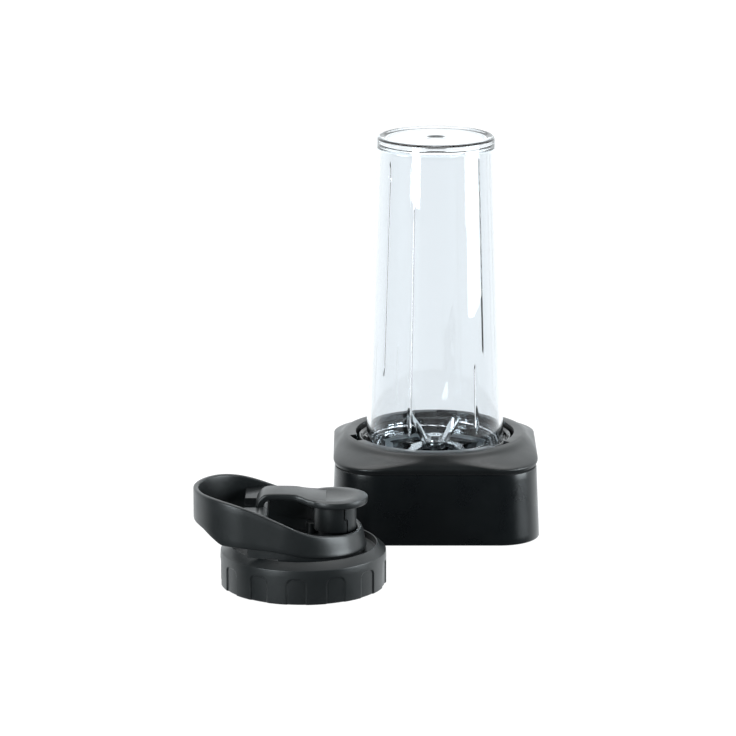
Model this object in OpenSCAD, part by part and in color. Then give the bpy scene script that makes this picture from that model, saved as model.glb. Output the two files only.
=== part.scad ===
// Compact countertop blender with an inverted blending cup, and its travel lid standing beside it.
// Millimetres. +Z is up, the origin is on the table under the blade axis, and the front faces -Y.

/* [Base] */
// Width and depth of the base at its foot
base_width = 132; // [130:1:160]
// Width and depth of the base just under the seam
base_top_width = 128; // [126:1:156]
// Corner radius of the base
base_corner_r = 26; // [22:1:30]
// Wall thickness of the base mouldings
base_wall = 2.6; // [2.0:0.1:3.2]
// Width of the collar where it overhangs the base
collar_width = 130; // [128:1:158]
// Height of the sloped collar above the seam
collar_height = 12.2; // [10:0.1:16]
// Radius of the round opening that takes the blade holder
well_r = 50.7; // [50.4:0.1:52.5]
// Outer radius of the flat ring around the opening
ring_outer_r = 57.2; // [56.8:0.1:60]
// Height of the non-slip ring under the bottom plate
foot_height = 1.5; // [1:0.1:3]

/* [Motor] */
// Radius of the stator's lamination stack
stator_r = 40.5; // [34:0.1:40.6]
// Height of the stator's lamination stack
stator_height = 7.4; // [6:0.1:12]
// Number of stator teeth, each with its own coil
stator_teeth = 12; // [9:3:12]
// Number of rotor magnets
magnet_count = 14; // [8:2:16]
// Radius of the motor shaft
motor_shaft_r = 4; // [3:0.1:5]
// Number of fan blades
fan_blades = 15; // [9:1:21]

/* [Cup] */
// Length of the cup, from its mouth to its closed end
cup_length = 205; // [120:1:230]
// Outer radius of the cup's mouth
cup_mouth_r = 44; // [42:0.1:44.2]
// Outer radius of the cup's closed end
cup_end_r = 37.2; // [32:0.1:42]
// Wall thickness of the cup
cup_wall = 2.6; // [1.8:0.1:3.2]
// Rise of the thread in one turn
thread_lead = 12; // [10.5:0.5:14]
// Turn that frees the cup from its thread, in degrees
thread_release = 250; // [220:5:280]

/* [Blades] */
// Thickness of the stamped blades
blade_t = 1.2; // [0.8:0.1:1.5]
// Length of the two tall blades past their bend
tall_blade = 19; // [12:0.5:22]
// Length of the two short blades past their bend
short_blade = 14.5; // [10:0.5:20]
// Length of the two low blades past their bend
low_blade = 16; // [10:0.5:20]
// Radius of the blade shaft
blade_shaft_r = 4; // [3.2:0.1:4.4]

/* [Interlock] */
// Number of wings, slots and plungers around the well
wing_count = 3; // [3:1:3]
// Angle of the first slot, from +X
first_slot = 80; // [76:1:84]
// Angular width of a slot
slot_angle = 16; // [13:1:20]
// Travel of each plunger
plunger_travel = 3; // [2:0.1:3.5]

/* [Travel lid] */
// Place of the lid's centre beside the base
lid_place = [-82.6, -138.2]; // [-200:0.1:0]
// Outer radius of the lid's grip ring
lid_r = 50.8; // [50:0.1:54]
// Height of the lid's grip ring
lid_grip_height = 21.5; // [20:0.1:26]
// Number of recessed grip panels
grip_panels = 13; // [8:1:16]
// How far the carrying loop reaches past the lid's centre
loop_reach = 67; // [60:0.5:75]
// Thickness of the carrying loop's band
loop_wall = 3.2; // [2.4:0.1:4]
// Height of the loop's high end above the lid's recess
loop_height = 40; // [36:0.5:46]
// How far the loop's round front sits behind the lid's centre
loop_set_back = 4.5; // [3:0.1:6]
// Distance of the drinking spout from the lid's centre
spout_x = 19.5; // [16:0.5:22]
// Radius of the drinking hole
spout_bore_r = 8.3; // [6:0.1:8.6]
// Radius of the flip cap's thumb disc
thumb_disc_r = 20; // [16:0.5:21]

/* [Hidden] */
$fn = 96;
eps = 0.01;
run_gap = 0.03;    // running clearance between a shaft and its bearing
slide_gap = 0.3;   // clearance of parts that slide on each other
thick_gap = 0.5;   // clearance of parts that must never touch

// Stack of levels, from the table up
plate_t = 3;
plate_z0 = foot_height;
plate_z1 = plate_z0 + plate_t;
groove_depth = plate_t / 2;
fan_z0 = plate_z1 + 0.8;
fan_h = 3.7;
bell_z0 = fan_z0 + fan_h;
bell_floor_t = 1.5;
coil_overhang = 1;
coil_z0 = bell_z0 + bell_floor_t + thick_gap;
core_z0 = coil_z0 + coil_overhang;
core_z1 = core_z0 + stator_height;
coil_z1 = core_z1 + coil_overhang;
bell_z1 = core_z1 + 1.4;
bracket_t = 3;
bracket_z0 = coil_z1 + 1.6;
bracket_z1 = bracket_z0 + bracket_t;
well_floor_t = 2.5;
well_floor_z0 = bracket_z1 + 1;
well_floor_z = well_floor_z0 + well_floor_t;
drive_h = 7;
drive_z0 = well_floor_z + thick_gap;
drive_z1 = drive_z0 + drive_h;
driven_z0 = drive_z0 + thick_gap;
driven_cap_t = 2.4;
driven_z1 = drive_z1 + thick_gap + driven_cap_t;
hub_z0 = driven_z1 + slide_gap;
clip_t = 1;
blade_bearing_t = 3.5;
spacer_t = 0.8;
seal_t = 2;
lower_blade_bearing_z = hub_z0 + clip_t;
spacer_z = lower_blade_bearing_z + blade_bearing_t;
upper_blade_bearing_z = spacer_z + spacer_t;
blade_seal_z = upper_blade_bearing_z + blade_bearing_t;
hub_z1 = blade_seal_z + seal_t + 0.5;
blade_z0 = hub_z1 + thick_gap;
holder_floor_z = blade_z0 - 5.5;
holder_floor_t = 2.5;
gasket_t = 2;
cup_rim_z = holder_floor_z + gasket_t;
ring_top_z = cup_rim_z + 12.5;
collar_z0 = ring_top_z - collar_height;
seam_gasket_t = 0.6;
housing_z1 = collar_z0 - seam_gasket_t;

// Base plan sizes
base_half = base_width / 2;
base_top_half = base_top_width / 2;
inner_half = base_half - base_wall;
inner_top_half = base_top_half - base_wall;
inner_corner_r = base_corner_r - base_wall;
inner_lean = (inner_half - inner_top_half) / (housing_z1 - plate_z0);
plate_half = inner_half - inner_lean * plate_t - thick_gap;
ledge_w = 3;
screw_r = 2;
case_screw_at = inner_top_half - 11.4;
case_boss_r = 4;
foot_ring_half = case_screw_at + 2;
foot_ring_w = 5;
boss_split_z = bracket_z0 - 2;

// Well, slots and plungers
lower_well_r = well_r - 1.4;
lower_well_wall = 1.9;
well_wall = 1.8;
slot_floor_z = holder_floor_z - 5.5;
slot_floor_t = 2;
slot_r = well_r + 4.9;
slot_wall = 1.6;
wing_t = 4.5;
wing_z0 = holder_floor_z - wing_t;
wing_angle = slot_angle - 2;
plunger_r = 1.8;
plunger_at = slot_r - plunger_r - 0.7;
plunger_flange_r = 2.3;
plunger_flange_t = 1.1;
spring_pocket_r = 2.9;
plunger_z1 = wing_z0 - 0.1;
plunger_flange_z = slot_floor_z - slot_floor_t - 0.1 - plunger_flange_t;
switch_h = 9;
switch_z0 = slot_floor_z - slot_floor_t - plunger_flange_t - 16;
spring_z0 = switch_z0 + switch_h + 0.2;
plunger_z0 = spring_z0 + plunger_travel;
slot_angles = [for (i = [0 : wing_count - 1]) first_slot + 360 * i / wing_count];

// Motor
motor_ears = 3;
ear_at = 57;
ear_r = 5.5;
motor_post_r = 4.2;
ear_first = first_slot - 60;
air_gap = 0.6;
magnet_t = 2.8;
magnet_in_r = stator_r + air_gap;
bell_in_r = magnet_in_r + magnet_t;
bell_r = bell_in_r + 2;
hub_tube_r = 12;
motor_bearing_r = 8;
motor_bearing_t = 4;
bell_hub_r = 8;
drip_seal_r = 9;
drive_r = 11;
lobes = 6;
driven_r = 15;

// Blade holder
holder_r = well_r - 1.7;
holder_skirt_r = lower_well_r - slide_gap * 2;
holder_in_r = cup_mouth_r + 2.6;
holder_rim_z = ring_top_z - 2.5;
hub_r = 11;
blade_bearing_r = blade_shaft_r + 2.4;
shaft_tip_r = 2.8;
blade_spacer_t = 1;
upper_blade_z = blade_z0 + blade_t + blade_spacer_t;
washer_z = upper_blade_z + blade_t;
washer_t = 0.6;
nut_z = washer_z + washer_t;
nut_h = 2.4;
blade_bend_r = 8.5;

// Cup
thread_starts = 3;
thread_sweep = 200;
thread_depth = 1.8;
thread_pitch = thread_lead / thread_starts;
thread_root = thread_pitch * 0.3125;
thread_crest = thread_pitch * 0.15;
cup_z1 = cup_rim_z + cup_length;
cup_neck_z = cup_rim_z + 13.5;
cup_floor_t = 5;
cup_edge_r = 2.2;
cup_thread_z = cup_rim_z + 3.1;
holder_thread_z = cup_thread_z - thread_pitch / 2;
gasket_in_r = cup_mouth_r - 3;
gasket_r = cup_mouth_r + 0.4;

// Travel lid
lid_floor_t = 2.5;
lid_floor_z = lid_grip_height - 0.5;
lid_floor_z0 = lid_floor_z - lid_floor_t;
lid_gasket_z = lid_floor_z0 - gasket_t;
shoulder_w = 5;
shoulder_h = 4;
recess_r = lid_r - shoulder_w - 0.6;
lid_in_r = holder_in_r;
panel_depth = 0.8;
panel_angle = 13.7;
panel_height = lid_grip_height * 0.74;
loop_front_r = recess_r - 2;
loop_end_r = 39;
loop_end_x = loop_end_r - loop_reach;
loop_front_x = -loop_set_back;
loop_edge = [[-67, 1], [-50, 0.97], [-33, 0.875], [-14, 0.69], [4, 0.51], [20, 0.43], [39, 0.36]];
loop_under = [[-67, 0.5], [-61, 0.48], [-55, 0.39], [-49.5, 0.31], [-44, 0.42], [-19, 0.3], [6, 0.165], [20, 0.1], [39, 0.06]];
loop_skirt_in = 1.8;
loop_skirt_x = -14.5;
spout_r = spout_bore_r + 1.9;
spout_z = lid_floor_z + 15;
boss_at = loop_front_r - 6.2;
boss_angle = [76, 42];
boss_r = 3.4;
boss_h = [7, 5];
lid_screw_r = 1.25;
hinge_x = -25;
hinge_z = lid_floor_z + 25.5;
hinge_pin_r = 1.5;
hinge_barrel_r = 4;
hinge_end = loop_end_r - 0.7;
hinge_block_l = 11;
tongue_half = 10.5;
disc_z0 = lid_floor_z + 29.7;
disc_t = 4.1;
skirt_in_r = spout_r + 1.1;
skirt_r = skirt_in_r + 1.7;
skirt_z0 = spout_z - 2;
spout_seal_t = 2.6;
dish_r = 60;
dish_depth = 1.3;

housing_black = [0.05, 0.055, 0.06];
collar_black = [0.16, 0.17, 0.175];
lid_black = [0.17, 0.18, 0.185];
steel = [0.75, 0.76, 0.77];
copper = [0.72, 0.42, 0.22];
iron = [0.45, 0.46, 0.48];
rubber = [0.06, 0.06, 0.06];
silicone = [0.62, 0.65, 0.67];
clear = [0.88, 0.93, 0.96, 0.35];

// ---------- shared shapes ----------

// A square with round corners, half its width and its corner radius given
module rounded_square(half, r) {
    square([2 * half, 2 * (half - r)], center = true);
    square([2 * (half - r), 2 * half], center = true);
    for (x = [-1, 1], y = [-1, 1])
        translate([x * (half - r), y * (half - r)]) circle(r);
}

// A straight block on a rounded square
module rounded_block(half, r, z0, z1) {
    translate([0, 0, z0]) linear_extrude(z1 - z0) rounded_square(half, r);
}

// A ring around Z
module ring(r_in, r_out, z0, z1) {
    translate([0, 0, z0]) difference() {
        cylinder(r = r_out, h = z1 - z0);
        translate([0, 0, -1]) cylinder(r = r_in, h = z1 - z0 + 2);
    }
}

// A sector of a ring around Z, centred on an angle
module sector(r_in, r_out, z0, z1, angle) {
    rotate([0, 0, -angle / 2]) rotate_extrude(angle = angle)
        translate([r_in, z0]) square([r_out - r_in, z1 - z0]);
}

// Copies around Z
module around(count, first = 0) {
    for (i = [0 : count - 1]) rotate([0, 0, first + 360 * i / count]) children();
}

// Copies at the four corners of a square
module at_corners(half) {
    for (x = [-1, 1], y = [-1, 1]) translate([x * half, y * half, 0]) children();
}

// A pan-head screw that points down from its head's seat at z, or up when flipped
module screw(shank_r, length, head_r, head_t) {
    translate([0, 0, -length]) cylinder(r = shank_r, h = length + eps);
    difference() {
        cylinder(r = head_r, h = head_t);
        translate([0, 0, head_t / 2]) for (a = [0, 90]) rotate([0, 0, a])
            translate([-head_r * 0.6, -head_r * 0.13, 0]) cube([head_r * 1.2, head_r * 0.26, head_t]);
    }
}

// One start of a helical ridge: r_root is inside the wall, r_crest is the ridge's top, z0 its start
module thread_ridge(r_root, r_crest, z0, first) {
    steps = 40;
    ring_points = [for (i = [0 : steps])
        let (a = first + thread_sweep * i / steps,
             z = z0 + thread_lead * thread_sweep * i / steps / 360,
             fade = min(1, (i + 0.4) / 3, (steps - i + 0.4) / 3),
             r = r_root + (r_crest - r_root) * fade)
        each [[r_root * cos(a), r_root * sin(a), z - thread_root],
              [r * cos(a), r * sin(a), z - thread_crest],
              [r * cos(a), r * sin(a), z + thread_crest],
              [r_root * cos(a), r_root * sin(a), z + thread_root]]];
    outward = r_crest > r_root;
    sides = [for (i = [0 : steps - 1], k = [0 : 3])
        let (a = 4 * i + k, b = 4 * i + (k + 1) % 4, c = b + 4, d = a + 4)
        each [[a, b, c], [a, c, d]]];
    last = 4 * steps;
    ends = [[0, 3, 2], [0, 2, 1], [last, last + 1, last + 2], [last, last + 2, last + 3]];
    all_faces = concat(sides, ends);
    polyhedron(points = ring_points,
               faces = outward ? all_faces : [for (f = all_faces) [f[2], f[1], f[0]]], convexity = 4);
}

// All the starts of a thread
module thread(r_root, r_crest, z0) {
    for (s = [0 : thread_starts - 1]) thread_ridge(r_root, r_crest, z0, 360 * s / thread_starts);
}

// ---------- base ----------

module tapered_block(half0, half1, r, z0, z1) {
    hull() {
        translate([0, 0, z0]) linear_extrude(eps) rounded_square(half0, r, $fn = 48);
        translate([0, 0, z1 - eps]) linear_extrude(eps) rounded_square(half1, r, $fn = 48);
    }
}

inlet_x = 33;
inlet_z = plate_z1 + 15.5;
inlet_w = 20;
inlet_h = 12;
inlet_depth = 16;
inlet_face_y = base_half - 0.2;

module base_housing() {
    color(housing_black) difference() {
        union() {
            difference() {
                tapered_block(base_half, base_top_half, base_corner_r, plate_z0, housing_z1);
                tapered_block(inner_half, inner_top_half, inner_corner_r, plate_z0 - eps, housing_z1 + 1);
            }
            difference() {
                rounded_block(inner_half + 0.6, inner_corner_r + 0.6, plate_z1, plate_z1 + 2);
                rounded_block(inner_half - ledge_w, inner_corner_r - 2, plate_z1 - 1, plate_z1 + 3);
            }
            translate([inlet_x - inlet_w / 2 - 4, inner_top_half - 0.5, inlet_z - inlet_h / 2 - 4])
                cube([inlet_w + 8, inlet_face_y - inner_top_half + 0.5, inlet_h + 8]);
            for (x = board_screw_x) translate([x, board_y + 1.6, board_screw_z]) rotate([-90, 0, 0])
                cylinder(r = 3, h = inner_half - board_y - 1);
        }
        for (x = board_screw_x) translate([x, board_y, board_screw_z]) rotate([-90, 0, 0])
            cylinder(r = 1.5, h = 3.6, $fn = 48);
        translate([inlet_x - inlet_w / 2, inner_top_half - 5, inlet_z - inlet_h / 2])
            cube([inlet_w, inlet_face_y - inner_top_half + 8, inlet_h]);
        around(motor_ears, ear_first) translate([ear_at, 0, plate_z1 - 1])
            cylinder(r = motor_post_r + slide_gap, h = 3.5, $fn = 48);
    }
}

// Plan of the collar at each level: half its width, and its corner radius
module collar_layer(z, half, r, inset) {
    translate([0, 0, z - inset]) linear_extrude(eps) rounded_square(half - inset, r - inset, $fn = 64);
}

module collar_shell(inset) {
    half = collar_width / 2;
    step = (half - ring_outer_r) / 4;
    hull() {
        translate([0, 0, collar_z0]) linear_extrude(inset + 1)
            rounded_square(half - 1.2 - inset, base_corner_r + 1 - inset, $fn = 64);
        collar_layer(collar_z0 + collar_height * 0.21, half, base_corner_r + 6, inset);
        collar_layer(collar_z0 + collar_height * 0.41, half - step * 0.4, base_corner_r + 16, inset);
        collar_layer(collar_z0 + collar_height * 0.67, half - step * 1.8, base_corner_r + 29, inset);
        collar_layer(collar_z0 + collar_height * 0.92, half - step * 3.2, ring_outer_r - 1.2, inset);
        translate([0, 0, ring_top_z - eps - inset]) cylinder(r = ring_outer_r - 0.6 - inset, h = eps, $fn = 96);
    }
}

module top_collar() {
    color(collar_black) difference() {
        union() {
            difference() {
                collar_shell(0);
                translate([0, 0, -eps]) collar_shell(base_wall);
            }
            rotate_extrude() polygon([
                [drip_seal_r, well_floor_z0], [lower_well_r + lower_well_wall, well_floor_z0],
                [lower_well_r + lower_well_wall, slot_floor_z - slot_floor_t],
                [well_r + well_wall, slot_floor_z - slot_floor_t], [well_r + well_wall, ring_top_z - 2],
                [lower_well_r, ring_top_z - 2], [lower_well_r, well_floor_z], [drip_seal_r, well_floor_z]]);
            for (a = slot_angles) rotate([0, 0, a])
                sector(well_r + 1, slot_r + slot_wall, slot_floor_z - slot_floor_t + 0.3, ring_top_z - 2.4,
                       slot_angle + 4.6);
            at_corners(case_screw_at) translate([0, 0, boss_split_z])
                cylinder(r = case_boss_r, h = collar_z0 + collar_height * 0.45 - boss_split_z);
            for (a = slot_angles, y = [-6.5, 6.5]) rotate([0, 0, a])
                translate([lower_well_r + 0.4, y, well_floor_z0 + 1.3])
                    rotate([0, 90, 0]) cylinder(r = 1.1, h = 8.5, $fn = 32);
        }
        translate([0, 0, slot_floor_z]) cylinder(r = well_r, h = 100);
        for (a = slot_angles) rotate([0, 0, a]) {
            sector(well_r - 2, slot_r, slot_floor_z - 0.4, ring_top_z + 5, slot_angle);
            translate([plunger_at, 0, 0]) cylinder(r = plunger_r + 0.2, h = 200, $fn = 48);
            translate([plunger_at, 0, spring_z0 - 1])
                cylinder(r = spring_pocket_r, h = slot_floor_z - slot_floor_t + 0.15 - spring_z0 + 1, $fn = 48);
        }
        at_corners(case_screw_at) translate([0, 0, boss_split_z - 1]) cylinder(r = screw_r + 0.05, h = 13);
    }
}

module seam_gasket() {
    color(rubber) difference() {
        rounded_block(base_top_half - 1, base_corner_r - 1, housing_z1, collar_z0);
        rounded_block(inner_top_half + 0.1, inner_corner_r + 0.1, housing_z1 - 1, collar_z0 + 1);
    }
}

module bottom_plate() {
    color(housing_black) difference() {
        union() {
            rounded_block(plate_half, inner_corner_r - 1, plate_z0, plate_z1);
            at_corners(case_screw_at) translate([0, 0, plate_z1 - eps])
                cylinder(r = case_boss_r, h = boss_split_z - 0.2 - plate_z1 + eps);
            around(motor_ears, ear_first) translate([ear_at, 0, plate_z1 - eps])
                cylinder(r = motor_post_r, h = bracket_z0 - 1.5 - plate_z1 + eps);
        }
        difference() {
            rounded_block(foot_ring_half, inner_corner_r - 4, plate_z0 - 1, plate_z0 + groove_depth);
            rounded_block(foot_ring_half - foot_ring_w, inner_corner_r - 4 - foot_ring_w, plate_z0 - 2, plate_z1 + 2);
        }
        at_corners(case_screw_at) {
            translate([0, 0, -1]) cylinder(r = screw_r + 0.2, h = 100);
            translate([0, 0, plate_z0 - 1]) cylinder(r = 3.7, h = 2.2);
        }
        around(motor_ears, ear_first) translate([ear_at, 0, plate_z1 + 2]) cylinder(r = screw_r + 0.05, h = 60);
        around(18) sector(14, 24, 0, plate_z1 + 1, 9);
        around(12, 15) sector(32, 40, 0, plate_z1 + 1, 8);
    }
}

module foot_ring() {
    color(rubber) difference() {
        rounded_block(foot_ring_half, inner_corner_r - 4, 0, plate_z0 + groove_depth);
        rounded_block(foot_ring_half - foot_ring_w, inner_corner_r - 4 - foot_ring_w, -1, plate_z0 + 5);
    }
}

module case_screws() {
    color(steel) at_corners(case_screw_at) translate([0, 0, plate_z0 + 1.2])
        mirror([0, 0, 1]) screw(screw_r, boss_split_z + 10 - plate_z0 - 1.2, 3.4, 1.1);
}

// ---------- motor ----------

module motor_bracket() {
    color([0.7, 0.71, 0.72]) difference() {
        union() {
            translate([0, 0, bracket_z0]) cylinder(r = 30, h = bracket_t);
            around(motor_ears, ear_first) {
                translate([27, -ear_r - 1, bracket_z0]) cube([ear_at - 27, 2 * ear_r + 2, bracket_t]);
                translate([ear_at, 0, bracket_z0]) cylinder(r = ear_r, h = bracket_t);
            }
            translate([0, 0, coil_z0 + 0.5]) cylinder(r = hub_tube_r, h = bracket_z1 - coil_z0 - 0.5);
        }
        translate([0, 0, -1]) cylinder(r = motor_shaft_r + 2, h = 100);
        translate([0, 0, coil_z0 - 1]) cylinder(r = motor_bearing_r, h = motor_bearing_t + 1.5);
        translate([0, 0, bracket_z1 - motor_bearing_t]) cylinder(r = motor_bearing_r, h = 20);
        around(motor_ears, ear_first) translate([ear_at, 0, 0]) cylinder(r = 4, h = 100);
        around(motor_ears, ear_first + 60) sector(16, 26, bracket_z0 - 1, bracket_z1 + 1, 50);
    }
}

module vibration_grommets() {
    color(rubber) around(motor_ears, ear_first) translate([ear_at, 0, 0]) difference() {
        union() {
            translate([0, 0, bracket_z0 - 1.5]) cylinder(r = 5, h = 1.5);
            translate([0, 0, bracket_z0 - eps]) cylinder(r = 4, h = bracket_t + 2 * eps);
            translate([0, 0, bracket_z1]) cylinder(r = 5, h = 1.4);
        }
        cylinder(r = screw_r + 0.1, h = 100);
    }
}

module bracket_screws() {
    color(steel) around(motor_ears, ear_first) translate([ear_at, 0, bracket_z1 + 1.4])
        screw(screw_r, bracket_z1 - 8, 3.8, 2.2);
}

module stator_core() {
    tooth_w = stator_r * PI * 2 / stator_teeth * 0.2;
    color(iron) union() {
        ring(hub_tube_r, hub_tube_r + 7, core_z0, core_z1);
        around(stator_teeth) {
            translate([hub_tube_r + 6, -tooth_w / 2, core_z0])
                cube([stator_r - hub_tube_r - 8, tooth_w, stator_height]);
            sector(stator_r - 3, stator_r, core_z0, core_z1, 360 / stator_teeth - 6);
        }
    }
}

module stator_coils() {
    tooth_w = stator_r * PI * 2 / stator_teeth * 0.2;
    coil_in = hub_tube_r + 8.5;
    coil_len = stator_r - 4 - coil_in;
    coil_w = tooth_w + 3.2;
    color(copper) around(stator_teeth) difference() {
        translate([coil_in, -coil_w / 2, coil_z0]) cube([coil_len, coil_w, coil_z1 - coil_z0]);
        translate([coil_in - 1, -tooth_w / 2, core_z0]) cube([coil_len + 2, tooth_w, stator_height]);
    }
}

// A ball bearing drawn as its two races, its cage of balls and its shields
module bearing(bore_r, outer_r, z0, t) {
    wall = (outer_r - bore_r) * 0.28;
    middle = (outer_r + bore_r) / 2;
    color(steel) translate([0, 0, z0]) rotate_extrude() difference() {
        translate([bore_r, 0]) square([outer_r - bore_r, t]);
        translate([bore_r + wall, -eps]) square([outer_r - bore_r - 2 * wall, 0.4]);
        translate([bore_r + wall, t - 0.4]) square([outer_r - bore_r - 2 * wall, 0.5]);
        translate([middle, t / 2]) circle(r = 0.25, $fn = 16);
    }
}

module upper_motor_bearing() {
    bearing(motor_shaft_r + run_gap, motor_bearing_r, bracket_z1 - motor_bearing_t, motor_bearing_t);
}

module lower_motor_bearing() {
    bearing(motor_shaft_r + run_gap, motor_bearing_r, coil_z0 + 0.5, motor_bearing_t);
}

module drip_seal() {
    color(rubber) rotate_extrude() polygon([
        [motor_shaft_r + 0.3, well_floor_z0], [drip_seal_r, well_floor_z0], [drip_seal_r, well_floor_z],
        [motor_shaft_r + 2, well_floor_z], [motor_shaft_r + 0.3, well_floor_z - 0.8]]);
}

module rotor_bell() {
    color([0.35, 0.36, 0.38]) difference() {
        union() {
            translate([0, 0, bell_z0]) cylinder(r = bell_r, h = bell_floor_t);
            ring(bell_in_r, bell_r, bell_z0, bell_z1);
            translate([0, 0, bell_z0]) cylinder(r = bell_hub_r, h = bell_floor_t + 0.3);
        }
        translate([0, 0, bell_z0 - 1]) cylinder(r = motor_shaft_r, h = 20);
        around(6) sector(14, 32, bell_z0 - 1, bell_z0 + bell_floor_t + 1, 34);
    }
}

module rotor_magnets() {
    color([0.55, 0.56, 0.58]) around(magnet_count)
        sector(magnet_in_r, bell_in_r, bell_z0 + bell_floor_t, core_z1 + 0.6, 360 / magnet_count - 3);
}

module motor_shaft() {
    color(steel) translate([0, 0, fan_z0 + 0.6]) cylinder(r = motor_shaft_r, h = drive_z1 - fan_z0 - 0.6);
}

module cooling_fan() {
    color([0.12, 0.12, 0.13]) difference() {
        union() {
            ring(33, bell_r - 1, bell_z0 - 0.8, bell_z0);
            ring(motor_shaft_r, bell_hub_r, fan_z0 + 1, bell_z0);
            around(fan_blades) rotate([0, 0, 18]) translate([bell_hub_r - 0.5, -0.5, bell_z0 - 0.8])
                cube([bell_r - bell_hub_r - 3, 1, 0.8]);
            around(fan_blades) translate([26, 0, fan_z0]) rotate([0, 0, 32])
                translate([0, -0.45, 0]) cube([17.5, 0.9, bell_z0 - fan_z0]);
        }
        translate([0, 0, fan_z0 - 1]) difference() {
            cylinder(r = 80, h = 20);
            translate([0, 0, -1]) cylinder(r = bell_r, h = 30);
        }
    }
}

// The star that the two halves of the drive coupling share
module coupling_star(grow) {
    circle(r = drive_r - 3 + grow);
    for (i = [0 : lobes - 1]) rotate(360 * i / lobes)
        translate([drive_r - 3, 0]) circle(r = 2.6 + grow, $fn = 40);
}

module drive_coupling() {
    color([0.2, 0.2, 0.21]) translate([0, 0, drive_z0]) linear_extrude(drive_h) difference() {
        coupling_star(0);
        circle(r = motor_shaft_r);
    }
}

module shaft_clip() {
    color(steel) ring(motor_shaft_r, motor_shaft_r + 1.4, bracket_z1 + 0.2, bracket_z1 + 0.9);
}

// ---------- electrics ----------

board_x0 = -41;
board_w = 33;
board_y = inner_top_half - 4.8;
board_z0 = plate_z1 + 2.5;
board_h = 31;
board_screw_x = [board_x0 + 3.5, board_x0 + board_w - 3.5];
board_screw_z = board_z0 + board_h - 3.5;

module controller_board() {
    color([0.1, 0.35, 0.2]) difference() {
        translate([board_x0, board_y, board_z0]) cube([board_w, 1.6, board_h]);
        for (x = board_screw_x) translate([x, board_y - 1, board_screw_z])
            rotate([-90, 0, 0]) cylinder(r = 1.6, h = 4, $fn = 32);
    }
}

module board_parts() {
    color([0.2, 0.22, 0.28]) {
        translate([board_x0 + 6, board_y - 5.2, board_z0 + 2]) cylinder(r = 5.2, h = 18);
        translate([board_x0 + 14, board_y - 4.5, board_z0 + 3]) cube([7, 4.5, 10]);
        translate([board_x0 + 14, board_y - 3, board_z0 + 16]) cube([12, 3, 9]);
        translate([board_x0 + 23, board_y - 2.4, board_z0 + 3]) cube([8, 2.4, 8]);
    }
}

module board_screws() {
    color(steel) for (x = board_screw_x) translate([x, board_y, board_screw_z])
        rotate([90, 0, 0]) screw(1.5, 3.6, 2.6, 1.3);
}

module mains_inlet() {
    color([0.08, 0.08, 0.085]) difference() {
        union() {
            translate([inlet_x - inlet_w / 2 - 3, inlet_face_y, inlet_z - inlet_h / 2 - 2.5])
                cube([inlet_w + 6, 1.4, inlet_h + 5]);
            translate([inlet_x - inlet_w / 2, inlet_face_y - inlet_depth, inlet_z - inlet_h / 2])
                cube([inlet_w, inlet_depth + eps, inlet_h]);
        }
        translate([inlet_x, inlet_face_y - inlet_depth + 2.5, inlet_z]) rotate([-90, 0, 0])
            linear_extrude(40) inlet_outline();
        for (x = [-1, 1]) translate([inlet_x + x * 4.3, inlet_face_y - inlet_depth - 5, inlet_z])
            rotate([-90, 0, 0]) cylinder(r = 1.2, h = 10, $fn = 32);
    }
}

module inlet_outline() {
    square([8.6, 8.6], center = true);
    for (x = [-1, 1]) translate([x * 4.3, 0]) circle(r = 4.3);
}

module inlet_pins() {
    color(steel) for (x = [-1, 1]) translate([inlet_x + x * 4.3, inlet_face_y - inlet_depth - 4, inlet_z])
        rotate([-90, 0, 0]) cylinder(r = 1.2, h = inlet_depth + 1.5, $fn = 32);
}

module interlock_switches() {
    color([0.25, 0.1, 0.1]) for (a = slot_angles) rotate([0, 0, a]) difference() {
        translate([lower_well_r + lower_well_wall + 0.3, -9, switch_z0]) cube([6.2, 18, switch_h]);
        for (y = [-6.5, 6.5]) translate([lower_well_r, y, well_floor_z0 + 1.3])
            rotate([0, 90, 0]) cylinder(r = 1.2, h = 12, $fn = 32);
    }
}

module plunger(index) {
    color([0.75, 0.2, 0.15]) rotate([0, 0, slot_angles[index]]) translate([plunger_at, 0, 0]) {
        translate([0, 0, plunger_z0]) cylinder(r = plunger_r, h = plunger_z1 - plunger_z0 - 0.8);
        translate([0, 0, plunger_z1 - 0.8 - eps]) cylinder(r1 = plunger_r, r2 = plunger_r - 0.6, h = 0.8 + eps);
        translate([0, 0, plunger_flange_z]) cylinder(r = plunger_flange_r, h = plunger_flange_t);
    }
}

// A compression spring between the switch and the plunger's flange, as a stack of turns
module plunger_spring(index) {
    turns = 4;
    wire_r = 0.3;
    room = plunger_flange_z - spring_z0 - 2 * wire_r;
    color(steel) rotate([0, 0, slot_angles[index]]) translate([plunger_at, 0, 0])
        for (i = [0 : turns]) translate([0, 0, spring_z0 + wire_r + room * i / turns])
            rotate_extrude() translate([plunger_r + 0.1 + wire_r, 0]) circle(r = wire_r, $fn = 16);
}

// ---------- blade holder and blades ----------

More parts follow.
